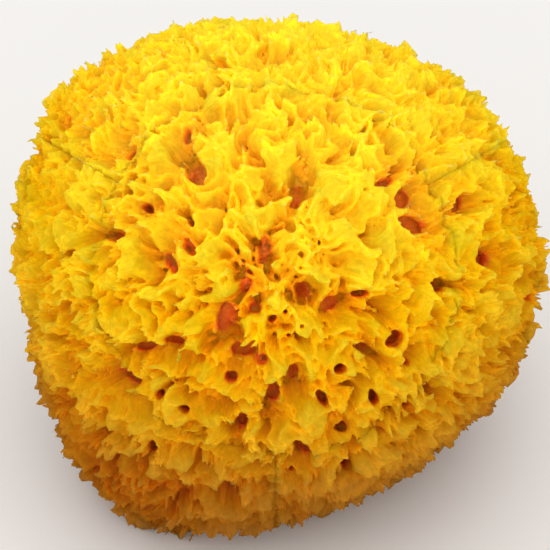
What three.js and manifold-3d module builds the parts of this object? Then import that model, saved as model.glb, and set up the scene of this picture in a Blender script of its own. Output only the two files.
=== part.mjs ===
// A natural sea sponge of the wool kind: one ball of soft tissue, cut off flat where it grew on the rock.
// Its skin is a crowd of leaning tufts, with deep pores, long clefts and narrow valleys between them.
// Millimetres, +Z up. The origin is the middle of the flat cut, and the best side faces -Y and upwards.
import * as THREE from "three";
import { mergeVertices } from "three/addons/utils/BufferGeometryUtils.js";
import Module from "manifold-3d";

const wasm = await Module();
wasm.setup();

// The ball and its cut
const BALL_RADIUS = 69.5; // from the ball's middle to the tips of its tufts, on average
const CUT_BELOW_MIDDLE = 55; // the flat cut lies this far under the ball's middle
const FACE_TILT = 38; // degrees that the best side is turned up from level

// The tufts
const SURFACE_DETAIL = 21; // subdivisions of each icosahedron edge, about 3.9 mm apart on the ball
const TUFT_SPACING = 7.4; // least distance between two tips
const VALLEY_DEPTH = 8.5; // from the tips down to the floor between them
const TIP_SCATTER = 1.6; // tips stand this much higher or lower than their neighbours
const SHOULDER_DROP = [0.6, 3.6]; // a tuft is a blade: its other end is this much lower than its tip
const VALLEY_SCATTER = 2.4;
const LEAN = 0.95; // sideways shift of a tip
const SHIFT = 0.75; // sideways shift of the other points, so that the net beneath doesn't show

// Broad lobes and dips of the ball: turn round the facing axis (degrees, from the right towards the top),
// tilt away from it (degrees), height and spread (degrees)
const LOBES = [
  [5, 88, 1.6, 30],
  [41, 88, 1.6, 14],
  [84, 88, -5.6, 22],
  [142, 88, 6.6, 22],
  [190, 88, -3.8, 22],
  [236, 88, 6.6, 22],
  [268, 88, -2.6, 13],
  [300, 88, -8.6, 30],
  [60, 150, 3.0, 30],
  [200, 140, -3.0, 28],
  [310, 125, 2.5, 25],
  [120, 50, 1.5, 25],
  [350, 45, -1.5, 22],
];

// Pores of the best side: right, up (from its middle, as seen face on), length, width, turn of the length
// (degrees), depth
const PORES = [
  [5.4, 19.2, 8, 3.0, 80, 17],
  [7.1, -4.2, 4.4, 3.9, 0, 16],
  [13.6, -7.4, 5.4, 4.4, 30, 16],
  [21.2, -5.0, 5.4, 2.6, 0, 13],
  [-2.8, 6.1, 7.0, 4.6, 80, 12],
  [-7.4, -2.8, 5.0, 3.4, 70, 12],
  [-12.4, -10.8, 9.5, 5.4, 70, 15],
  [-5.2, -8.6, 3.9, 3.4, 0, 13],
  [29.7, -16.5, 5.4, 4.4, 20, 17],
  [15.9, -23.5, 4.0, 3.6, 0, 15],
  [4.2, -24.6, 5.6, 3.4, 80, 15],
  [-0.6, -29.6, 6.8, 3.8, 80, 16],
  [11.6, -30.9, 5.4, 2.8, 115, 15],
  [16.4, -38.7, 4.4, 3.4, -30, 16],
  [24.4, -31.0, 5.4, 2.8, 110, 17],
  [33.3, -33.5, 4.8, 2.8, 130, 14],
  [38.3, -29.4, 4.0, 3.2, -20, 14],
  [21.5, -18.4, 5.8, 2.8, -25, 14],
  [40.9, -2.8, 4.6, 4.2, 0, 13],
  [53.9, 3.9, 10.0, 5.4, 0, 16],
  [32.2, 19.0, 7.6, 5.4, 60, 16],
  [34.6, 12.4, 9.8, 5.0, 0, 16],
  [47.7, 18.5, 6.0, 3.8, 50, 14],
  [27.3, 22.9, 8.0, 3.0, 35, 12],
  [-19.6, 25.0, 8.4, 5.6, 110, 12],
  [-36.3, 30.3, 4.8, 3.8, 60, 14],
  [-32.2, 16.5, 4.4, 2.8, -30, 13],
  [-39.9, 9.5, 7.4, 3.4, 5, 12],
  [-21.2, 6.4, 6.0, 3.2, 120, 12],
  [-26.1, 2.8, 7.0, 3.4, 125, 12],
  [-25.2, -16.9, 6.4, 3.0, 0, 16],
  [-33.2, -18.5, 7.6, 3.0, 20, 15],
  [-37.2, -26.6, 9.0, 4.6, -5, 13],
  [-8.6, -19.2, 6.4, 4.0, 0, 18],
  [-11.1, -25.9, 4.0, 3.6, 0, 15],
  [-8.5, -37.1, 6.8, 3.4, 80, 17],
  [-3.5, -21.4, 4.2, 3.4, 0, 12],
  [-31.1, -43.9, 6.0, 3.0, 75, 14],
  [-11.9, -54.9, 7.0, 4.0, 125, 12],
  [-53.8, -31.6, 7.0, 6.0, 0, 12],
  [6.8, -44.0, 9.0, 3.4, 120, 14],
  [18.1, -49.0, 8.0, 3.2, 100, 14],
];

// Clefts of the best side: a line of [right, up], its width and its depth
const CLEFTS = [
  { line: [[37, -20], [43, -23], [50, -26], [57, -25], [62, -20]], width: 3.4, depth: 11 },
  { line: [[-39, -24], [-37, -18], [-31, -16], [-24, -17]], width: 3, depth: 11 },
  { line: [[-4, 20], [-8, 28], [-16, 33]], width: 3, depth: 8 },
];

// Pores of the other sides and canals of the cut, scattered by chance
const FAR_PORES = 150;
const FAR_PORE_GAP = 13; // least distance between two of them, or to a listed one
const FAR_PORE_WIDTH = [3.2, 7.5];
const FAR_PORE_DEPTH = [12, 16.5];
const CANALS = [[17, 9], [-21, 14], [-9, -20], [24, -15], [3, 30], [-30, -9], [33, 14], [-17, -34]];
const CANAL_WIDTH = 8;
const CANAL_DEPTH = 9;

const FLESH = { color: 0xf0b412, roughness: 0.92, metalness: 0 };

const degrees = THREE.MathUtils.degToRad;
const tilt = degrees(FACE_TILT);
const RIGHT = new THREE.Vector3(1, 0, 0);
const UP = new THREE.Vector3(0, Math.sin(tilt), Math.cos(tilt));
const FACING = new THREE.Vector3(0, -Math.cos(tilt), Math.sin(tilt));

// A number from 0 to 1 that looks random but is the same on each run.
function chance(index, series) {
  const wave = Math.sin(index * 127.1 + series * 311.7) * 43758.5453;
  return wave - Math.floor(wave);
}

const between = ([low, high], share) => low + (high - low) * share;

// The direction of a place on the best side, given as millimetres right and up.
function facing(right, up) {
  const x = right / BALL_RADIUS;
  const y = up / BALL_RADIUS;
  const z = Math.sqrt(Math.max(1 - x * x - y * y, 0));
  return new THREE.Vector3().addScaledVector(RIGHT, x).addScaledVector(UP, y).addScaledVector(FACING, z).normalize();
}

function lobeDirection(turn, away) {
  const side = Math.sin(degrees(away));
  return new THREE.Vector3()
    .addScaledVector(RIGHT, side * Math.cos(degrees(turn)))
    .addScaledVector(UP, side * Math.sin(degrees(turn)))
    .addScaledVector(FACING, Math.cos(degrees(away)));
}

const lobes = LOBES.map(([turn, away, height, spread]) => ({
  direction: lobeDirection(turn, away),
  height,
  spread: degrees(spread),
}));

// The radius that the tips reach in a direction.
function tipRadius(direction) {
  return lobes.reduce(
    (sum, lobe) => sum + lobe.height * Math.exp(-((direction.angleTo(lobe.direction) / lobe.spread) ** 2)),
    BALL_RADIUS,
  );
}

// Distance along the ball between two directions.
const apart = (a, b) => a.angleTo(b) * BALL_RADIUS;

// Two directions across the ball's surface, the first level or along the best side's right.
function tangents(direction) {
  const across = RIGHT.clone().addScaledVector(direction, -RIGHT.dot(direction));
  if (across.lengthSq() < 1e-6) across.copy(UP);
  across.normalize();
  return [across, new THREE.Vector3().crossVectors(direction, across)];
}

// How far a direction lies inside an oval pore: 0 at its middle and 1 at its rim.
function insidePore(pore, direction) {
  const [across, along] = tangents(pore.direction);
  const x = direction.dot(across) * BALL_RADIUS;
  const y = direction.dot(along) * BALL_RADIUS;
  const c = Math.cos(pore.turn);
  const s = Math.sin(pore.turn);
  if (direction.dot(pore.direction) < 0) return Infinity;
  return Math.hypot((x * c + y * s) / (pore.length / 2), (y * c - x * s) / (pore.width / 2));
}

function scatteredPores(listed) {
  const made = [];
  for (let i = 0; made.length < FAR_PORES && i < FAR_PORES * 20; i++) {
    const height = 2 * chance(i, 1) - 1;
    const around = 2 * Math.PI * chance(i, 2);
    const level = Math.sqrt(1 - height * height);
    const direction = new THREE.Vector3(level * Math.cos(around), level * Math.sin(around), height);
    if ([...listed, ...made].some((p) => apart(p.direction, direction) < FAR_PORE_GAP)) continue;
    const width = between(FAR_PORE_WIDTH, chance(i, 3) ** 2);
    made.push({
      direction,
      width,
      length: width * (1 + chance(i, 4)),
      turn: Math.PI * chance(i, 5),
      depth: between(FAR_PORE_DEPTH, chance(i, 6)),
    });
  }
  return made;
}

const listedPores = PORES.map(([right, up, length, width, turn, depth]) => ({
  direction: facing(right, up),
  length,
  width,
  turn: degrees(turn),
  depth,
}));
const pores = [...listedPores, ...scatteredPores(listedPores)];

const clefts = CLEFTS.map(({ line, width, depth }) => {
  const curve = new THREE.CatmullRomCurve3(line.map(([right, up]) => facing(right, up)));
  return { points: curve.getPoints(24).map((p) => p.normalize()), width, depth };
});

const canals = CANALS.map(([x, y]) => new THREE.Vector3(x, y, -CUT_BELOW_MIDDLE).normalize());

// The net of directions over the ball, each moved a little sideways.
function netOfDirections() {
  const ball = new THREE.IcosahedronGeometry(1, SURFACE_DETAIL);
  ball.deleteAttribute("normal");
  ball.deleteAttribute("uv");
  const net = mergeVertices(ball, 1e-5);
  const place = net.getAttribute("position");
  const directions = [];
  for (let i = 0; i < place.count; i++) {
    const direction = new THREE.Vector3().fromBufferAttribute(place, i).normalize();
    const [across, along] = tangents(direction);
    const turn = 2 * Math.PI * chance(i, 7);
    const shift = (SHIFT * chance(i, 8)) / BALL_RADIUS;
    direction.addScaledVector(across, shift * Math.cos(turn)).addScaledVector(along, shift * Math.sin(turn));
    directions.push(direction.normalize());
  }
  return { directions, triangles: net.index.array };
}

// The points of the net that are tips: taken by chance, none nearer to another than TUFT_SPACING.
function chooseTips(directions) {
  const order = directions.map((_, i) => i).sort((a, b) => chance(a, 9) - chance(b, 9));
  const tips = [];
  for (const i of order) {
    if (tips.every((t) => apart(directions[t], directions[i]) >= TUFT_SPACING)) tips.push(i);
  }
  return tips;
}

// Each point's neighbours in the net.
function neighboursOf(directions, triangles) {
  const neighbours = directions.map(() => new Set());
  for (let t = 0; t < triangles.length; t += 3) {
    const corners = [triangles[t], triangles[t + 1], triangles[t + 2]];
    corners.forEach((a, k) => neighbours[a].add(corners[(k + 1) % 3]));
  }
  return neighbours.map((set) => [...set]);
}

// The depth of each point of the net below the radius that the tips reach.
function depthsOf(directions, triangles, tips) {
  const high = new Map(tips.map((i) => [i, TIP_SCATTER * (2 * chance(i, 10) - 1)]));
  const neighbours = neighboursOf(directions, triangles);
  for (const i of tips) {
    const shoulder = neighbours[i][Math.floor(chance(i, 13) * neighbours[i].length)];
    high.set(shoulder, high.get(i) + between(SHOULDER_DROP, chance(i, 14)));
  }
  return directions.map((direction, i) => {
    if (high.has(i)) return high.get(i);
    const nearest = Math.min(...tips.map((t) => apart(directions[t], direction)));
    const share = THREE.MathUtils.smoothstep(nearest, 0, TUFT_SPACING * 0.75);
    return VALLEY_DEPTH * share + VALLEY_SCATTER * (chance(i, 11) - 0.5);
  });
}

function sinkPores(directions, depths) {
  for (const pore of pores) {
    let nearest = 0;
    directions.forEach((direction, i) => {
      if (direction.dot(pore.direction) > directions[nearest].dot(pore.direction)) nearest = i;
      if (insidePore(pore, direction) < 1) depths[i] = Math.max(depths[i], pore.depth * 0.85);
    });
    directions[nearest] = directions[nearest].clone().lerp(pore.direction, 0.7).normalize();
    depths[nearest] = pore.depth;
  }
}

function sinkClefts(directions, depths) {
  for (const cleft of clefts) {
    directions.forEach((direction, i) => {
      const distance = Math.min(...cleft.points.map((p) => apart(p, direction)));
      if (distance < cleft.width * 0.6) depths[i] = Math.max(depths[i], cleft.depth);
    });
  }
}

// The radius in a direction, which a canal of the cut holds back from the cut.
function radiusAt(direction, depth) {
  const radius = tipRadius(direction) - depth;
  const inCanal = canals.some((canal) => apart(canal, direction) < CANAL_WIDTH / 2);
  if (!inCanal) return radius;
  return Math.min(radius, CUT_BELOW_MIDDLE / -direction.z - CANAL_DEPTH);
}

function leaningTips(directions, tips) {
  for (const i of tips) {
    const [across, along] = tangents(directions[i]);
    const turn = 2 * Math.PI * chance(i, 12);
    directions[i]
      .addScaledVector(across, (LEAN * Math.cos(turn)) / BALL_RADIUS)
      .addScaledVector(along, (LEAN * Math.sin(turn)) / BALL_RADIUS)
      .normalize();
  }
}

function roughBall() {
  const { directions, triangles } = netOfDirections();
  const tips = chooseTips(directions);
  const depths = depthsOf(directions, triangles, tips);
  sinkClefts(directions, depths);
  leaningTips(directions, tips);
  sinkPores(directions, depths);
  const points = new Float32Array(directions.length * 3);
  directions.forEach((direction, i) => {
    const point = direction.clone().multiplyScalar(radiusAt(direction, depths[i]));
    point.z += CUT_BELOW_MIDDLE;
    point.toArray(points, i * 3);
  });
  return new wasm.Manifold(
    new wasm.Mesh({ numProp: 3, vertProperties: points, triVerts: new Uint32Array(triangles) }),
  );
}

// The block below the cut, which the ball loses.
function belowTheCut() {
  const side = BALL_RADIUS * 3;
  const block = new THREE.BoxGeometry(side, side, side).translate(0, 0, -side / 2);
  block.deleteAttribute("normal");
  block.deleteAttribute("uv");
  const merged = mergeVertices(block, 1e-4);
  return new wasm.Manifold(
    new wasm.Mesh({
      numProp: 3,
      vertProperties: new Float32Array(merged.getAttribute("position").array),
      triVerts: new Uint32Array(merged.index.array),
    }),
  );
}

// A solid's mesh; its points hold nothing but their three coordinates.
function geometryOf(solid) {
  const { vertProperties, triVerts } = solid.getMesh();
  const geometry = new THREE.BufferGeometry();
  geometry.setAttribute("position", new THREE.BufferAttribute(new Float32Array(vertProperties), 3));
  geometry.setIndex(new THREE.BufferAttribute(new Uint32Array(triVerts), 1));
  return geometry;
}

// Moves a geometry level so that its outer box is centred over the origin.
function centredOnOrigin(geometry) {
  geometry.computeBoundingBox();
  const middle = geometry.boundingBox.getCenter(new THREE.Vector3());
  geometry.translate(-middle.x, -middle.y, 0);
  geometry.computeVertexNormals();
  return geometry;
}

const spongeMesh = new THREE.Mesh(
  centredOnOrigin(geometryOf(roughBall().subtract(belowTheCut()))),
  new THREE.MeshStandardMaterial(FLESH),
);
spongeMesh.name = "sponge";

const seaSponge = new THREE.Group();
seaSponge.add(spongeMesh);

export default seaSponge;
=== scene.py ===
"""A natural sea sponge of the wool kind: ragged tufts of golden flesh, with pores and clefts between them
painted orange and red-brown as shade.

The flesh is worked out as a solid field round the sponge's middle, from the CAD solid's own radius in every
direction, finer ridges of noise and the pores of the best side, and is then meshed on a grid of small cells.
Lengths are millimetres until a mesh is made, and metres after that.
"""
import math

import bpy
import numpy as np
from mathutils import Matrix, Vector
from mathutils.bvhtree import BVHTree


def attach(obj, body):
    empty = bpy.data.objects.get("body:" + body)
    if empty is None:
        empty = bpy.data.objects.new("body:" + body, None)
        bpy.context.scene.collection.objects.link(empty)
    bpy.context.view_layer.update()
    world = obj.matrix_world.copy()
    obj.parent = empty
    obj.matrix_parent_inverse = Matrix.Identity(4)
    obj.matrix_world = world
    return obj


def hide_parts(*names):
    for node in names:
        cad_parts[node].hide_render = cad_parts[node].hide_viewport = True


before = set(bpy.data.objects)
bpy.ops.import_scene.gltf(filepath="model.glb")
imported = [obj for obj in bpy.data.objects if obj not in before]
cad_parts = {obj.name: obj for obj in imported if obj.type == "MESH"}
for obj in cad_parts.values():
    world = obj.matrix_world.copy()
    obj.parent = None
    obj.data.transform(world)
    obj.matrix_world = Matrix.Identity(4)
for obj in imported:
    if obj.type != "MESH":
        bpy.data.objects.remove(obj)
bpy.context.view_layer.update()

# The ball and how the photograph sees it
MIDDLE = np.array([-2.23, -1.42, 55.0], np.float32)  # the ball's middle in the part's frame
BALL_RADIUS = 69.5
FACE_TILT = math.radians(38)  # the best side is turned up this far from level
CAMERA_DISTANCE = 800.0
FRAME_PIXELS = 550
BALL_PIXELS = 266.0  # the ball's radius in the photograph
BALL_AT = (275.5, 273.5)  # the ball's middle in the photograph

# The flesh
VALLEY_DEPTH = 8.5  # from the tips of the tufts to the floor between them
BODY_TOP = 6.5  # the body's mesh stops this far under the tips, and the tufts' meshes go on
SECTOR_OVERLAP = 0.05  # how far neighbouring tufts' pieces reach into each other
TUFT_ROOT = 8.5  # the tufts' meshes reach down this far, into the body
SOLID_WITHIN = 20.0  # everything deeper than this under the tips is solid
CUT_LIFT = 8.0  # over the flat cut the flesh is carried on this far, and the cut then trims it
GRID_MARGIN = 9.0  # the grid reaches this far past the ball
SHELL = 28.0  # the flesh is worked out only this far into the ball
TOP_DEPTH, SIDE_DEPTH, PIT_DEPTH = 1.6, 2.0, 2.5  # how much the parts of the profile add to the depth
CAD_SHARE = 0.8  # how much the CAD solid's own height says in where the tufts rise
BODY_CELL = 1.1
TUFT_CELL = 0.5
LEAN_CELL = 1.3  # the sideways bend changes slowly, so its grid is coarser
MAP_SIDE = 449  # samples along the edge of the cube map, 0.25 mm apart on the ball
CAD_MAP_SIDE = 129
TIP_MAP_SIDE = 33
TIP_SPREAD = 8.0  # a tip counts over about this distance
SMALL_PORES = 700
FAR_SIDE = 0.25  # the scattered pores keep to directions whose share towards the best side is below this
PORE_DEPTH = 0.6  # the share of a pore's depth that stays open
DISH_DEPTH = 3.5  # the most that the flesh falls off towards a pore
DEEPEST_SHADE = 7.0  # the painted shade of flesh that isn't in a pore deepens no further than at this depth
PORE_SHADE = 7.0  # a pore gets painted shade as if it were this much deeper
PORE_SLANT = 0.5  # the share of its angle from the best side's middle by which a pore turns back there
SPLAY = 8.5  # how far the tips lean away from the middle of the best side
COMBED = 0.45  # how much longer the locks run, from the middle of the best side towards the outline
BEND_STARTS, BEND_ENDS = 14.0, 2.0  # the bend grows from this far inside the ball to this far outside it
BODY_TRIANGLES = 50_000

# The ridges: their width, the seed of their noise and how much they say in where the tufts rise
RIDGE_SHARPNESS = 2.5
BLADES, LOCKS, STRANDS = (7.0, 21, 1.2), (3.4, 22, 1.0), (2.2, 23, 0.75)
# The waviness of the ridges and the bend of the tufts: width, seed and distance
WARPS = [(6.0, 11, 1.5), (2.4, 14, 0.6), (1.2, 17, 0.3)]
BENDS = [(8.0, 41, 3.0), (3.6, 44, 1.2)]

# The colours' ranges: depths in millimetres, how far a face stands out and heights over the cut in metres
SHALLOWEST, DEEPEST = -1, 17
TOP_ROOM = 5  # the UV map's heights end this far over the ball
LEAST_CREST, CREST_RANGE, CREST_BANDS = -0.5, 1.2, 8
CROWN_HIGHLIGHT = (0.085, 0.12)  # a painted highlight makes the top paler between these heights
UNDERSIDE_SHADE = (0.118, 0.035)  # and painted shade makes the flesh browner between these heights
FOOT_SHADE = (0.055, 0.015)  # and painted shade makes it darker between these

# The tufts' pieces: name, nearest and farthest angle from the best side's middle, the turn round it from the
# right towards the top at which the piece starts and ends, and its triangles
SECTORS = [
    ("tufts_face", -5, 42, 0, None, 196_000),
    ("tufts_right", 42, 85, -90, 30, 145_000),
    ("tufts_upper", 42, 85, 30, 150, 145_000),
    ("tufts_left", 42, 85, 150, 270, 145_000),
    ("tufts_far_right", 85, 185, -90, 90, 120_000),
    ("tufts_far_left", 85, 185, 90, 270, 120_000),
]

MM = 0.001

RIGHT = np.array([1, 0, 0], np.float32)
UP = np.array([0, math.sin(FACE_TILT), math.cos(FACE_TILT)], np.float32)
FACING = np.array([0, -math.cos(FACE_TILT), math.sin(FACE_TILT)], np.float32)

# Pores of the best side: right, up, length, width, turn of the length (degrees), depth
PORES = [
    (5.4, 19.2, 7.6, 2.6, 80, 17),
    (7.1, -4.2, 4.2, 3.7, 0, 16),
    (13.6, -7.4, 5.0, 4.0, 30, 16),
    (21.2, -5.0, 5.0, 2.2, 0, 13),
    (-2.8, 6.1, 7.0, 3.6, 80, 11),
    (-7.4, -2.8, 4.6, 3.0, 70, 11),
    (-6.6, 0.4, 2.4, 1.5, -30, 13),
    (-12.4, -10.8, 9.0, 4.8, 70, 14),
    (-5.2, -8.6, 3.6, 3.0, 0, 12),
    (-0.8, -11.2, 2.8, 1.9, 50, 13),
    (2.5, -9.3, 1.6, 1.3, 0, 12),
    (6.4, -12.7, 1.3, 1.3, 0, 12),
    (3.3, -15.3, 1.3, 1.3, 0, 12),
    (29.7, -16.5, 5.0, 4.0, 20, 17),
    (15.9, -23.5, 3.4, 3.2, 0, 15),
    (4.2, -24.6, 5.4, 3.0, 80, 15),
    (-0.6, -29.6, 6.6, 3.4, 80, 16),
    (11.6, -30.9, 5.2, 2.4, 115, 15),
    (16.4, -38.7, 4.2, 3.2, -30, 16),
    (24.4, -31.0, 5.2, 2.4, 110, 17),
    (33.3, -33.5, 4.6, 2.4, 130, 14),
    (38.3, -29.4, 3.8, 3.0, -20, 14),
    (33.0, -22.5, 2.6, 2.0, -20, 14),
    (21.5, -18.4, 5.4, 2.2, -25, 14),
    (40.9, -2.8, 4.4, 4.0, 0, 13),
    (53.9, 3.9, 9.6, 5.0, 0, 16),
    (32.2, 19.0, 7.4, 5.0, 60, 16),
    (34.6, 12.4, 9.6, 4.8, 0, 16),
    (47.7, 18.5, 5.8, 3.6, 50, 14),
    (27.3, 22.9, 7.8, 2.6, 35, 12),
    (-19.6, 25.0, 8.0, 5.2, 110, 12),
    (-36.3, 30.3, 4.6, 3.4, 60, 14),
    (-22.0, 34.3, 4.4, 2.6, 80, 12),
    (-32.2, 16.5, 4.2, 2.4, -30, 13),
    (-20.7, 12.5, 2.6, 1.7, -60, 13),
    (-39.9, 9.5, 7.0, 3.0, 5, 12),
    (-21.2, 6.4, 5.8, 2.8, 120, 12),
    (-26.1, 2.8, 6.8, 3.0, 125, 12),
    (-51.5, 5.1, 3.0, 2.4, 0, 12),
    (-25.2, -16.9, 6.2, 2.6, 0, 16),
    (-33.2, -18.5, 7.4, 2.6, 20, 15),
    (-37.2, -26.6, 8.6, 4.2, -5, 13),
    (-8.6, -19.2, 6.2, 3.6, 0, 18),
    (-11.1, -25.9, 3.4, 3.2, 0, 15),
    (-8.5, -37.1, 6.6, 3.0, 80, 17),
    (-3.5, -21.4, 3.6, 3.0, 0, 11),
    (-23.0, -33.8, 3.0, 2.4, -20, 15),
    (-29.1, -30.4, 3.4, 2.2, 60, 13),
    (-31.1, -43.9, 5.8, 2.6, 75, 14),
    (-11.9, -54.9, 6.6, 3.6, 125, 12),
    (-53.8, -31.6, 6.6, 5.4, 0, 12),
    (6.8, -44.0, 8.6, 3.0, 120, 14),
    (18.1, -49.0, 7.6, 2.8, 100, 14),
    (3.9, -50.4, 2.8, 2.6, 0, 13),
]


def smooth(x, low, high):
    """0 at or below low, 1 at or above high, and a smooth step between."""
    t = np.clip((x - low) / (high - low), 0, 1)
    return t * t * (3 - 2 * t)


def unit(v):
    return v / np.linalg.norm(v, axis=-1, keepdims=True)


# Noise
NOISE_SIDE = 64


def gradients(seed):
    table = np.random.default_rng(seed).normal(size=(NOISE_SIDE**3, 3)).astype(np.float32)
    return unit(table)


def noise(points, cell, seed):
    """Smooth noise from about -1 to 1 at an array of points, with bumps about as wide as cell."""
    table = gradients(seed)
    q = points / np.float32(cell)
    base = np.floor(q)
    part = (q - base).astype(np.float32)
    base = base.astype(np.int32) & (NOISE_SIDE - 1)
    fade = part * part * part * (part * (part * 6 - 15) + 10)
    total = np.zeros(points.shape[:-1], np.float32)
    for corner in range(8):
        step = np.array([corner & 1, corner >> 1 & 1, corner >> 2 & 1], np.int32)
        at = (base + step) & (NOISE_SIDE - 1)
        index = (at[..., 0] * NOISE_SIDE + at[..., 1]) * NOISE_SIDE + at[..., 2]
        rise = np.einsum("...k,...k->...", table[index], part - step.astype(np.float32))
        share = np.where(step == 1, fade, 1 - fade).prod(axis=-1)
        total += rise * share
    return total * np.float32(1.6)


def vector_noise(points, cell, seed):
    return np.stack([noise(points, cell, seed + k) for k in range(3)], axis=-1)


def ridges(points, cell, seed):
    """Thin crests of 1 along wandering lines, falling to about 0 between them."""
    return 1 - np.minimum(np.abs(noise(points, cell, seed)) * np.float32(RIDGE_SHARPNESS), 1)


# The cube map: a value for every direction from the ball's middle
def cube_directions(side):
    across = np.tan(np.linspace(-1, 1, side, dtype=np.float32) * np.float32(math.pi / 4))
    u, v = np.meshgrid(across, across, indexing="ij")
    faces = []
    for axis in range(3):
        for sign in (1, -1):
            face = np.empty((side, side, 3), np.float32)
            face[..., axis] = sign
            face[..., (axis + 1) % 3] = u
            face[..., (axis + 2) % 3] = v
            faces.append(unit(face))
    return np.stack(faces)


def look_up(cube, directions):
    """A cube map's value in each direction, blended between its samples."""
    side = cube.shape[1]
    flat = directions.reshape(-1, 3)
    found = np.empty(len(flat), np.float32)
    axis_of = np.abs(flat).argmax(axis=1)
    for axis in range(3):
        mine = np.flatnonzero(axis_of == axis)
        d = flat[mine]
        major = np.abs(d[:, axis])
        place = [np.arctan(d[:, (axis + k) % 3] / major) * np.float32(4 / math.pi) for k in (1, 2)]
        u, v = ((np.clip(p, -1, 1) + 1) * np.float32((side - 1) / 2) for p in place)
        i = np.minimum(u.astype(np.int32), side - 2)
        j = np.minimum(v.astype(np.int32), side - 2)
        u -= i
        v -= j
        face = 2 * axis + (d[:, axis] < 0)
        values = cube.reshape(-1)
        start = (face * side + i) * side + j
        near = values[start] * (1 - v) + values[start + 1] * v
        far = values[start + side] * (1 - v) + values[start + side + 1] * v
        found[mine] = near * (1 - u) + far * u
    return found.reshape(directions.shape[:-1])


# What the CAD solid says
def cad_mesh():
    """The CAD solid's points, from the ball's middle in millimetres, and its triangles, which share points."""
    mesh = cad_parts["sponge"].data
    mesh.calc_loop_triangles()
    points = np.empty(len(mesh.vertices) * 3, np.float32)
    mesh.vertices.foreach_get("co", points)
    corners = np.empty(len(mesh.loop_triangles) * 3, np.int32)
    mesh.loop_triangles.foreach_get("vertices", corners)
    points = points.reshape(-1, 3) / MM - MIDDLE
    merged, index = np.unique(points.round(2), axis=0, return_inverse=True)
    return merged.astype(np.float32), index.reshape(-1)[corners].reshape(-1, 3)


def cad_radius(points, triangles):
    """A cube map of the CAD solid's radius, and of whether that direction ends on the flat cut."""
    tree = BVHTree.FromPolygons(points.tolist(), triangles.tolist())
    directions = cube_directions(CAD_MAP_SIDE)
    radius = np.empty(directions.shape[:-1], np.float32)
    origin = Vector((0, 0, 0))
    flat = radius.reshape(-1)
    for i, direction in enumerate(directions.reshape(-1, 3).tolist()):
        flat[i] = tree.ray_cast(origin, Vector(direction))[3] or BALL_RADIUS
    on_cut = radius * directions[..., 2] < -MIDDLE[2] + 0.1
    return radius, on_cut.astype(np.float32)


def tips_of(points, triangles):
    """The CAD solid's tips: its points that stand further out than all their neighbours."""
    radius = np.linalg.norm(points, axis=1)
    highest = np.zeros(len(points), np.float32)
    for a, b in ((0, 1), (1, 2), (2, 0)):
        np.maximum.at(highest, triangles[:, a], radius[triangles[:, b]])
        np.maximum.at(highest, triangles[:, b], radius[triangles[:, a]])
    on_ball = points[:, 2] > -MIDDLE[2] + 1
    return points[(radius >= highest) & on_ball & (radius > BALL_RADIUS - VALLEY_DEPTH)]


def tip_radius(tips):
    """A coarse cube map of the radius that the tips reach."""
    spread = TIP_SPREAD / BALL_RADIUS
    directions = cube_directions(TIP_MAP_SIDE)
    closeness = directions.reshape(-1, 3) @ unit(tips).T
    weight = np.exp((closeness - 1) / spread**2)
    reach = weight @ np.linalg.norm(tips, axis=1) / weight.sum(axis=1)
    return reach.reshape(directions.shape[:-1]).astype(np.float32)


# The pores of the best side
def facing(right, up):
    """The direction of a place on the best side."""
    x, y = right / BALL_RADIUS, up / BALL_RADIUS
    return unit(x * RIGHT + y * UP + math.sqrt(max(1 - x * x - y * y, 0)) * FACING)


def all_pores():
    """The listed pores, and small ones scattered over the rest of the ball."""
    found = [(facing(right, up), length, width, math.radians(turn), depth)
             for right, up, length, width, turn, depth in PORES]
    draw = np.random.default_rng(3)
    for direction in unit(draw.normal(size=(SMALL_PORES, 3))).astype(np.float32):
        width, stretch_by, turn, depth = draw.uniform((1.3, 1.0, 0, 9), (3.6, 2.2, math.pi, 14))
        if direction @ FACING < FAR_SIDE:
            found.append((direction, width * stretch_by, width, turn, depth))
    return found


def cut_radius(directions):
    """The radius at which each direction meets the flat cut, or a large one."""
    return MIDDLE[2] / np.maximum(-directions[..., 2], 0.1)


def pore_floor(directions, top, jitter):
    """The radius that the pores leave in each direction, and how much their wide dishes take off the flesh."""
    floor = np.full(directions.shape[:-1], 2 * BALL_RADIUS, np.float32)
    dish = np.zeros(directions.shape[:-1], np.float32)
    flat = directions.reshape(-1, 3)
    for middle, length, width, turn, depth in all_pores():
        near = np.flatnonzero(flat @ middle > math.cos(1.4 * length / BALL_RADIUS))
        d = flat[near]
        across = unit(RIGHT - middle * (RIGHT @ middle))
        along = np.cross(middle, across)
        x, y = (d @ across) * BALL_RADIUS, (d @ along) * BALL_RADIUS
        c, s = math.cos(turn), math.sin(turn)
        inside = np.hypot((x * c + y * s) / (length / 2), (y * c - x * s) / (width / 2))
        inside += jitter.reshape(-1)[near]
        drop = PORE_DEPTH * depth * (1 - smooth(inside, 0.75, 1.1))
        there = np.where(drop > 0, top.reshape(-1)[near] - drop, 2 * BALL_RADIUS)
        floor.reshape(-1)[near] = np.minimum(floor.reshape(-1)[near], there)
        around = min(width, DISH_DEPTH) * (1 - smooth(inside, 0.8, 2.4))
        dish.reshape(-1)[near] = np.maximum(dish.reshape(-1)[near], around)
    return floor, dish


def profile(rise):
    """The depth under the tips for a height in standard deviations: broad tops, steep sides and pits."""
    top = TOP_DEPTH * np.logaddexp(0, -1.2 * (rise - 0.5)) - 0.5
    side = SIDE_DEPTH * smooth(-rise, 0.0, 1.2)
    pit = PIT_DEPTH * smooth(-rise, 1.3, 2.0)
    return top + side + pit


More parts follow.
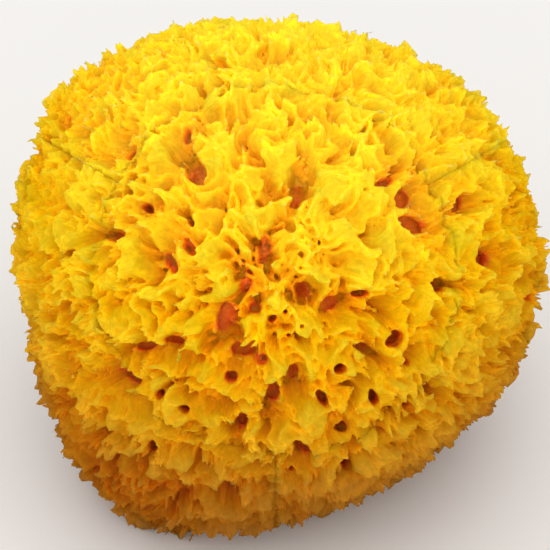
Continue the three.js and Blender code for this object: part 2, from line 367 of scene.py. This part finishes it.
def relief():
    """Cube maps of three radii: of the flesh, of what the pores leave and of what the tips reach."""
    points, triangles = cad_mesh()
    cad, on_cut = cad_radius(points, triangles)
    reach_map = tip_radius(tips_of(points, triangles))
    directions = cube_directions(MAP_SIDE)
    reach = look_up(reach_map, directions)
    flesh = look_up(cad, directions)
    cut = look_up(on_cut, directions)
    flesh += CUT_LIFT * smooth(cut, 0.3, 0.9)
    height = np.clip((flesh - reach + VALLEY_DEPTH) / VALLEY_DEPTH, -0.4, 1)
    p = directions * np.float32(BALL_RADIUS)
    p = p - FACING * (COMBED * (p @ FACING))[..., None]
    for width, seed, distance in WARPS:
        p = p + vector_noise(p, width, seed) * np.float32(distance)
    blades, locks, strands = (ridges(p, width, seed) for width, seed, _ in (BLADES, LOCKS, STRANDS))
    rise = CAD_SHARE * height + BLADES[2] * blades + LOCKS[2] * locks + STRANDS[2] * strands
    rise = (rise - rise.mean()) / rise.std()
    on_tufts = smooth(rise, -0.8, 0.4)
    flesh = reach - profile(rise)
    flesh += 1.6 * (locks - 0.6) * on_tufts
    flesh += (0.8 * noise(p, 1.3, 24) + 1.2 * (strands - 0.6)) * (0.4 + 0.6 * on_tufts)
    jitter = 0.22 * noise(p, 1.6, 31)
    top = np.minimum(reach, cut_radius(directions))
    pores, dish = pore_floor(directions, top, jitter)
    flesh -= dish
    in_canal = (look_up(cad, directions) < top - VALLEY_DEPTH + 2) & (top < reach - 1)
    pores = np.where(in_canal, np.minimum(pores, look_up(cad, directions)), pores)
    return np.maximum(flesh, reach - SOLID_WITHIN), pores, reach_map


def stretch(coarse, shape, ratio):
    """A coarse grid's values on a finer grid whose cells are ratio of its own."""
    for axis, count in enumerate(shape):
        at = np.arange(count, dtype=np.float32) * np.float32(ratio)
        low = np.minimum(at.astype(np.int32), coarse.shape[axis] - 2)
        part = (at - low).reshape([-1 if k == axis else 1 for k in range(3)])
        coarse = np.take(coarse, low, axis) * (1 - part) + np.take(coarse, low + 1, axis) * part
    return coarse.astype(np.float32)


def towards_face(points):
    """The direction across the ball towards the best side's middle, and the angle from there in radians."""
    outward = unit(points)
    level = outward @ FACING
    across = FACING - outward * level[..., None]
    length = np.linalg.norm(across, axis=-1, keepdims=True)
    return across / np.maximum(length, 1e-4), np.arccos(np.clip(level, -1, 1))


def bend_at(points):
    """How far the flesh is bent sideways at full height: at random, and away from the best side."""
    inward, angle = towards_face(points)
    splay = SPLAY * smooth(angle, math.radians(4), math.radians(30))
    splay *= 1 - smooth(angle, math.radians(80), math.radians(120))
    first, second = (vector_noise(points, width, seed) * np.float32(far) for width, seed, far in BENDS)
    return first + second + inward * splay[..., None]


def growth(radius):
    """The share of the full bend at a radius."""
    return smooth(radius, BALL_RADIUS - BEND_STARTS, BALL_RADIUS + BEND_ENDS)


def lean(origin, shape, cell):
    """How far the flesh is bent sideways at each point of a grid, at full height: three grids."""
    coarse_shape = [int(math.ceil(n * cell / LEAN_CELL)) + 2 for n in shape]
    axes = [origin[k] + np.arange(n, dtype=np.float32) * LEAN_CELL for k, n in enumerate(coarse_shape)]
    points = np.stack(np.meshgrid(*axes, indexing="ij"), axis=-1)
    bends = bend_at(points)
    return [stretch(bends[..., k], shape, cell / LEAN_CELL) for k in range(3)]


def pore_direction(points, radius):
    """The direction in which the pore map is read, so that pores slant towards the best side's middle."""
    inward, angle = towards_face(points)
    slant = np.tan(np.minimum(angle, 1.2) * PORE_SLANT) * np.clip(BALL_RADIUS - radius, 0, None)
    return unit(points + inward * slant[:, None])


def field(maps, cell):
    """The flesh's field on a grid, positive inside, each point's depth under the tips and the grid's origin."""
    half = BALL_RADIUS + GRID_MARGIN
    flesh, pores, reach_map = maps
    origin = np.array([-half, -half, -MIDDLE[2] - 2 * cell], np.float32)
    shape = [int(2 * half / cell), int(2 * half / cell), int((half + MIDDLE[2]) / cell)]
    axes = [origin[k] + np.arange(n, dtype=np.float32) * np.float32(cell) for k, n in enumerate(shape)]
    x, y, z = np.meshgrid(*axes, indexing="ij", sparse=True)
    r = np.sqrt(x * x + y * y + z * z)
    values = np.where(r < BALL_RADIUS, np.float32(1), np.float32(-1)) * np.float32(5)
    depth = BALL_RADIUS - r
    shell = np.flatnonzero((r > BALL_RADIUS - SHELL) & (r < half))
    bends = lean(origin, shape, cell)
    i, j, k = np.unravel_index(shell, shape)
    p = np.stack([axes[0][i], axes[1][j], axes[2][k]], axis=-1)
    flat_r = r.reshape(-1)[shell]
    into_pores = look_up(pores, pore_direction(p, flat_r)) - flat_r
    p += np.stack([b.reshape(-1)[shell] for b in bends], axis=-1) * growth(flat_r)[:, None]
    radius = np.linalg.norm(p, axis=1)
    p /= radius[:, None]
    values.reshape(-1)[shell] = np.minimum(look_up(flesh, p) - radius, into_pores)
    depth.reshape(-1)[shell] = look_up(reach_map, p) - radius
    values = np.minimum(values, np.broadcast_to(z + MIDDLE[2], shape))
    return values, depth, origin


# Meshing
def surface(values, origin, cell):
    """The surface where a grid's values change sign: its points, one to a cell, and four-sided faces."""
    shape = values.shape
    inside = values > 0
    cell_ids, places, signs = [], [], []
    steps = (shape[1] * shape[2], shape[2], 1)
    flat = values.reshape(-1)
    for axis in range(3):
        low = [slice(None)] * 3
        high = [slice(None)] * 3
        low[axis], high[axis] = slice(0, -1), slice(1, None)
        crossing = np.zeros(shape, bool)
        crossing[tuple(low)] = inside[tuple(low)] != inside[tuple(high)]
        start = np.flatnonzero(crossing)
        a, b = flat[start], flat[start + steps[axis]]
        at = np.stack(np.unravel_index(start, shape), axis=-1).astype(np.float32)
        at[:, axis] += a / (a - b)
        u, v = steps[(axis + 1) % 3], steps[(axis + 2) % 3]
        cell_ids.append(np.stack([start, start - u, start - u - v, start - v], axis=-1))
        places.append(at)
        signs.append(a > 0)
    faces = np.concatenate(cell_ids)
    at = np.concatenate(places)
    outward = np.concatenate(signs)
    ids, index = np.unique(faces, return_inverse=True)
    index = index.reshape(faces.shape)
    flat_index = index.reshape(-1)
    count = np.bincount(flat_index, minlength=len(ids)).astype(np.float32)
    totals = [np.bincount(flat_index, np.repeat(at[:, k], 4), len(ids)) for k in range(3)]
    points = np.stack([total / count for total in totals], axis=-1)
    index[~outward] = index[~outward][:, ::-1]
    return (points * cell + origin).astype(np.float32), index


def mesh_object(name, points, faces):
    """A Blender object of a mesh whose points are given in millimetres from the ball's middle."""
    sides = faces.shape[1]
    mesh = bpy.data.meshes.new(name)
    mesh.vertices.add(len(points))
    mesh.vertices.foreach_set("co", ((points + MIDDLE) * MM).astype(np.float32).reshape(-1))
    mesh.loops.add(faces.size)
    mesh.loops.foreach_set("vertex_index", faces.astype(np.int32).reshape(-1))
    mesh.polygons.add(len(faces))
    mesh.polygons.foreach_set("loop_start", np.arange(0, faces.size, sides, dtype=np.int32))
    mesh.update(calc_edges=True)
    mesh.shade_smooth()
    piece = bpy.data.objects.new(name, mesh)
    bpy.context.scene.collection.objects.link(piece)
    return piece


def points_of(mesh):
    points = np.empty(len(mesh.vertices) * 3, np.float32)
    mesh.vertices.foreach_get("co", points)
    return points.reshape(-1, 3) / MM - MIDDLE


def settle(mesh):
    """Lifts the points that the thinning left under the flat cut back onto it."""
    points = points_of(mesh)
    points[:, 2] = np.maximum(points[:, 2], -MIDDLE[2])
    mesh.vertices.foreach_set("co", ((points + MIDDLE) * MM).astype(np.float32).reshape(-1))


def thin_out(piece, triangles):
    """Takes the piece's mesh down to about a number of triangles."""
    have = 2 * len(piece.data.polygons)
    if have <= triangles:
        return
    decimate = piece.modifiers.new("fewer", "DECIMATE")
    decimate.ratio = triangles / have
    graph = bpy.context.evaluated_depsgraph_get()
    thinner = bpy.data.meshes.new_from_object(piece.evaluated_get(graph))
    piece.modifiers.clear()
    old = piece.data
    piece.data = thinner
    bpy.data.meshes.remove(old)
    piece.data.shade_smooth()
    settle(thinner)


def store(mesh, name, kind, key, values):
    attribute = mesh.attributes.new(name, kind, "POINT")
    attribute.data.foreach_set(key, np.asarray(values, np.float32).reshape(-1))


def read(mesh, name):
    values = np.empty(len(mesh.vertices), np.float32)
    mesh.attributes[name].data.foreach_get("value", values)
    return values


def normals_of(mesh):
    normals = np.empty(len(mesh.vertices) * 3, np.float32)
    mesh.vertices.foreach_get("normal", normals)
    return normals.reshape(-1, 3)


def crest_of(mesh):
    """How far each point stands out among its neighbours: 1 at a sharp tip, 0 on a level place, -1 in a pit."""
    edges = np.empty(len(mesh.edges) * 2, np.int32)
    mesh.edges.foreach_get("vertices", edges)
    edges = edges.reshape(-1, 2)
    places, normals = points_of(mesh), normals_of(mesh)
    total = np.zeros(len(places), np.float32)
    count = np.zeros(len(places), np.float32)
    for a, b in ((edges[:, 0], edges[:, 1]), (edges[:, 1], edges[:, 0])):
        away = places[a] - places[b]
        length = np.maximum(np.linalg.norm(away, axis=1), 1e-6)
        rise = np.einsum("nk,nk->n", away, normals[a]) / length
        total += np.bincount(a, rise, len(places))
        count += np.bincount(a, minlength=len(places))
    sharp = total / np.maximum(count, 1)
    spread = np.bincount(edges[:, 0], sharp[edges[:, 1]], len(places))
    spread += np.bincount(edges[:, 1], sharp[edges[:, 0]], len(places))
    return (sharp + spread / np.maximum(count, 1)) / 2


def paint(piece, maps):
    """Stores what the material reads at each point: the depth under the tips, which counts as more in a pore
    and sets the painted shade, how far the point stands out, which sets the painted highlight and the painted
    crease shade, and its place across the fibres in millimetres."""
    p = points_of(piece.data)
    radius = np.linalg.norm(p, axis=1)
    outward = p / radius[:, None]
    reach = look_up(maps[2], outward)
    top = np.minimum(reach, cut_radius(outward))
    in_pore = smooth(top - look_up(maps[1], pore_direction(p, radius)), 1.5, 4.0)
    depth = np.minimum(reach - radius, DEEPEST_SHADE)
    # A pore counts as deeper, so that it gets more painted shade
    depth = depth + PORE_SHADE * in_pore * smooth(top - radius, 1.0, 3.0)
    store(piece.data, "depth", "FLOAT", "value", depth)
    store(piece.data, "crest", "FLOAT", "value", crest_of(piece.data))
    across = unit(p + bend_at(p) * growth(radius)[:, None]) * BALL_RADIUS
    store(piece.data, "across", "FLOAT_VECTOR", "vector", across)


def corners_of(mesh):
    """Each face corner's point and face, and how many corners each face has."""
    points = np.empty(len(mesh.loops), np.int32)
    mesh.loops.foreach_get("vertex_index", points)
    sides = np.empty(len(mesh.polygons), np.int32)
    mesh.polygons.foreach_get("loop_total", sides)
    return points, np.repeat(np.arange(len(sides)), sides), sides


def lay_out(mesh):
    """Gives the mesh a UV map to bake its colour through, on which places of one colour share a spot:
    depth runs across it and height runs up it, in bands of how far a face stands out."""
    points, face, sides = corners_of(mesh)
    across = (read(mesh, "depth")[points] - SHALLOWEST) / (DEEPEST - SHALLOWEST)
    crest = np.bincount(face, read(mesh, "crest")[points]) / sides
    band = np.floor(np.clip((crest - LEAST_CREST) / CREST_RANGE, 0, 0.99) * CREST_BANDS)[face]
    height = (points_of(mesh)[points, 2] + MIDDLE[2]) / (MIDDLE[2] + BALL_RADIUS + TOP_ROOM)
    up = (band + 0.05 + 0.9 * np.clip(height, 0, 1)) / CREST_BANDS
    layer = mesh.uv_layers.new(name="OFBake")
    places = np.stack([np.clip(across, 0.01, 0.99), up], axis=-1).astype(np.float32)
    layer.uv.foreach_set("vector", places.reshape(-1))


def sponge_body(maps):
    values, depth, origin = field(maps, BODY_CELL)
    points, faces = surface(np.minimum(values, depth - BODY_TOP), origin, BODY_CELL)
    body = mesh_object("sponge_body", points, faces)
    thin_out(body, BODY_TRIANGLES)
    return body


def wedge_of(x, y, level, sector):
    """A field that is positive inside a sector: x, y and level run right, up and out of the best side."""
    _, nearest, farthest, start, end, _ = sector
    angle = np.arctan2(np.hypot(x, y), level)
    wedge = np.minimum(angle - math.radians(nearest), math.radians(farthest) - angle) * BALL_RADIUS
    if end is not None:
        after = y * math.cos(math.radians(start)) - x * math.sin(math.radians(start))
        before = x * math.sin(math.radians(end)) - y * math.cos(math.radians(end))
        wedge = np.minimum(wedge, np.minimum(after, before))
    return wedge + SECTOR_OVERLAP


def sponge_tufts(maps):
    values, depth, origin = field(maps, TUFT_CELL)
    values = np.minimum(values, TUFT_ROOT - depth)
    steps = [np.arange(n, dtype=np.float32) * np.float32(TUFT_CELL) for n in values.shape]
    x, y, z = np.meshgrid(*(start + step for start, step in zip(origin, steps)), indexing="ij", sparse=True)
    right, up, level = (x * d[0] + y * d[1] + z * d[2] for d in (RIGHT, UP, FACING))
    pieces = []
    for sector in SECTORS:
        inside = np.minimum(values, wedge_of(right, up, level, sector).astype(np.float32))
        points, faces = surface(inside, origin, TUFT_CELL)
        piece = mesh_object(sector[0], points, faces)
        thin_out(piece, sector[-1])
        pieces.append(piece)
    return pieces


# Materials
def node(tree, kind, **values):
    made = tree.nodes.new(kind)
    for key, value in values.items():
        setattr(made, key, value)
    return made


def ramp_of(tree, stops):
    ramp = node(tree, "ShaderNodeValToRGB")
    while len(ramp.color_ramp.elements) < len(stops):
        ramp.color_ramp.elements.new(0.5)
    for element, (at, colour) in zip(ramp.color_ramp.elements, stops):
        element.position = at
        element.color = (*colour, 1)
    return ramp


def mixed(tree, kind, factor, first, second):
    """A colour mix of two sockets or plain colours, by a socket or a number."""
    mix = node(tree, "ShaderNodeMix", data_type="RGBA", blend_type=kind)
    for index, value in ((0, factor), (6, first), (7, second)):
        if isinstance(value, bpy.types.NodeSocket):
            tree.links.new(value, mix.inputs[index])
        else:
            mix.inputs[index].default_value = value
    return mix.outputs[2]


def scaled(tree, value, low, high, to_low=0.0, to_high=1.0):
    scale = node(tree, "ShaderNodeMapRange")
    scale.inputs["From Min"].default_value = low
    scale.inputs["From Max"].default_value = high
    scale.inputs["To Min"].default_value = to_low
    scale.inputs["To Max"].default_value = to_high
    tree.links.new(value, scale.inputs["Value"])
    return scale.outputs["Result"]


def noise_of(tree, vector, scale, detail=2.0):
    texture = node(tree, "ShaderNodeTexNoise")
    texture.inputs["Scale"].default_value = scale
    texture.inputs["Detail"].default_value = detail
    tree.links.new(vector, texture.inputs["Vector"])
    return texture.outputs["Fac"]


def place_of(tree):
    """Each point's place in the sponge, which rides with it."""
    return node(tree, "ShaderNodeTexCoord").outputs["Object"]


def times(tree, first, second):
    product = node(tree, "ShaderNodeMath", operation="MULTIPLY")
    tree.links.new(first, product.inputs[0])
    tree.links.new(second, product.inputs[1])
    return product.outputs[0]


def flesh_material():
    """The flesh: painted shade by depth, in the creases and towards the base, a painted highlight on the top
    and the crests, and streaks and grain of its own.
    """
    material = bpy.data.materials.new("sponge flesh")
    material.use_nodes = True
    tree = material.node_tree
    shader = tree.nodes["Principled BSDF"]
    depth = node(tree, "ShaderNodeAttribute", attribute_name="depth").outputs["Fac"]
    crest = node(tree, "ShaderNodeAttribute", attribute_name="crest").outputs["Fac"]
    across = node(tree, "ShaderNodeAttribute", attribute_name="across").outputs["Vector"]
    place = node(tree, "ShaderNodeSeparateXYZ")
    tree.links.new(place_of(tree), place.inputs[0])
    level = scaled(tree, depth, SHALLOWEST, DEEPEST)
    # Painted shade by depth: golden at the tips, oranger and redder down in the clefts and pores
    upper = ramp_of(tree, [
        (0.06, (0.86, 0.70, 0.010)),
        (0.15, (0.88, 0.64, 0.001)),
        (0.26, (0.90, 0.54, 0.001)),
        (0.36, (0.91, 0.47, 0.001)),
        (0.46, (0.92, 0.41, 0.003)),
        (0.60, (0.95, 0.31, 0.016)),
        (0.80, (0.92, 0.20, 0.026)),
    ])
    # The same painted shade by depth for the base, browner and darker
    lower = ramp_of(tree, [
        (0.06, (0.50, 0.23, 0.014)),
        (0.15, (0.49, 0.195, 0.006)),
        (0.26, (0.49, 0.15, 0.004)),
        (0.36, (0.48, 0.12, 0.005)),
        (0.46, (0.47, 0.10, 0.008)),
        (0.60, (0.54, 0.10, 0.015)),
        (0.80, (0.53, 0.08, 0.022)),
    ])
    tree.links.new(level, upper.inputs["Fac"])
    tree.links.new(level, lower.inputs["Fac"])
    # Painted shade: the flesh turns from the upper colours to the browner lower ones towards the base
    underside_shade = scaled(tree, place.outputs["Z"], *UNDERSIDE_SHADE)
    colour = mixed(tree, "MIX", underside_shade, upper.outputs["Color"], lower.outputs["Color"])
    # Painted highlight: the flesh is painted paler towards the top
    crown_highlight = scaled(tree, place.outputs["Z"], *CROWN_HIGHLIGHT)
    crown_highlight_tint = scaled(tree, place.outputs["Z"], *CROWN_HIGHLIGHT, 0, 0.25)
    colour = mixed(tree, "MIX", crown_highlight_tint, colour, (0.88, 0.69, 0.08, 1))
    # The painted highlight's colour for tips and ridges, paler on the top and browner low down
    pale = mixed(tree, "MIX", underside_shade, (0.90, 0.72, 0.15, 1), (0.57, 0.29, 0.035, 1))
    pale = mixed(tree, "MIX", crown_highlight, pale, (0.91, 0.76, 0.36, 1))
    # The painted shade's colour for the creases, browner low down
    crease_shade = mixed(tree, "MIX", underside_shade, (0.93, 0.48, 0.001, 1), (0.54, 0.13, 0.004, 1))
    # The crests get the painted highlight, and the creases the painted shade
    colour = mixed(tree, "MIX", scaled(tree, crest, 0.25, 0.7, 0, 0.8), colour, pale)
    colour = mixed(tree, "MIX", scaled(tree, crest, -0.05, -0.45, 0, 0.4), colour, crease_shade)
    # Painted shade at the foot: darker near the flat cut
    foot_shade = scaled(tree, place.outputs["Z"], *FOOT_SHADE)
    colour = mixed(tree, "MULTIPLY", foot_shade, colour, (0.62, 0.55, 1, 1))
    streaks = scaled(tree, noise_of(tree, across, 1.6), 0.3, 0.7, 0.88, 1.08)
    grain = noise_of(tree, place_of(tree), 800, 3.0)
    tint = node(tree, "ShaderNodeCombineColor")
    for socket in tint.inputs:
        tree.links.new(times(tree, streaks, scaled(tree, grain, 0.3, 0.7, 0.92, 1.06)), socket)
    colour = mixed(tree, "MULTIPLY", 1.0, colour, tint.outputs["Color"])
    tree.links.new(colour, shader.inputs["Base Color"])
    bump = node(tree, "ShaderNodeBump")
    bump.inputs["Strength"].default_value = 0.8
    bump.inputs["Distance"].default_value = 0.0007
    tree.links.new(times(tree, noise_of(tree, across, 1.3, 3.0), grain), bump.inputs["Height"])
    tree.links.new(bump.outputs["Normal"], shader.inputs["Normal"])
    shader.inputs["Roughness"].default_value = 0.9
    shader.inputs["Specular IOR Level"].default_value = 0.0
    shader.subsurface_method = "BURLEY"
    shader.inputs["Subsurface Weight"].default_value = 1.0
    shader.inputs["Subsurface Radius"].default_value = (1.0, 0.6, 0.2)
    shader.inputs["Subsurface Scale"].default_value = 0.0045
    return material


# The photograph's view
def add_camera():
    data = bpy.data.cameras.new("camera")
    angle = math.asin(BALL_RADIUS / CAMERA_DISTANCE)
    focal_pixels = BALL_PIXELS / math.tan(angle)
    data.sensor_width = 36
    data.lens = 36 * focal_pixels / FRAME_PIXELS
    data.shift_x = (FRAME_PIXELS / 2 - BALL_AT[0]) / FRAME_PIXELS
    data.shift_y = (BALL_AT[1] - FRAME_PIXELS / 2) / FRAME_PIXELS
    data.clip_start, data.clip_end = 0.05, 20
    camera = bpy.data.objects.new("camera", data)
    camera.location = Vector(((MIDDLE + FACING * CAMERA_DISTANCE) * MM).tolist())
    camera.rotation_mode = "QUATERNION"
    camera.rotation_quaternion = Vector((-FACING).tolist()).to_track_quat("-Z", "Y")
    bpy.context.scene.collection.objects.link(camera)
    bpy.context.scene.camera = camera


def add_light(name, place, size, power, colour=(1, 1, 1)):
    data = bpy.data.lights.new(name, "AREA")
    data.shape = "SQUARE"
    data.size = size
    data.energy = power
    data.color = colour
    lamp = bpy.data.objects.new(name, data)
    lamp.location = place
    lamp.rotation_mode = "QUATERNION"
    lamp.rotation_quaternion = (Vector((0, 0, 0.06)) - Vector(place)).to_track_quat("-Z", "Y")
    bpy.context.scene.collection.objects.link(lamp)


def add_surroundings():
    bpy.ops.mesh.primitive_plane_add(size=6)
    floor = bpy.context.object
    floor.name = "floor"
    material = bpy.data.materials.new("pale floor")
    material.use_nodes = True
    shader = material.node_tree.nodes["Principled BSDF"]
    shader.inputs["Base Color"].default_value = (0.94, 0.94, 0.94, 1)
    shader.inputs["Roughness"].default_value = 0.7
    floor.data.materials.append(material)
    world = bpy.data.worlds.new("studio")
    bpy.context.scene.world = world
    world.use_nodes = True
    background = world.node_tree.nodes["Background"]
    background.inputs["Color"].default_value = (1, 0.98, 0.95, 1)
    background.inputs["Strength"].default_value = 0.84
    add_light("key", (-0.1, -0.1, 1.0), 1.3, 1.5)
    add_light("fill", (0, -0.8, 0.75), 1.0, 1.8, (1, 0.98, 0.94))
    add_light("glow", (0, -1.1, 0.3), 1.2, 1.3, (1, 0.6, 0.22))
    bpy.context.scene.view_settings.view_transform = "Standard"


add_camera()
maps = relief()
material = flesh_material()
body = sponge_body(maps)
tufts = sponge_tufts(maps)
pieces = [body, *tufts]
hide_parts("sponge")
for piece in pieces:
    paint(piece, maps)
    lay_out(piece.data)
    piece.data.materials.append(material)
    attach(piece, "root")
add_surroundings()
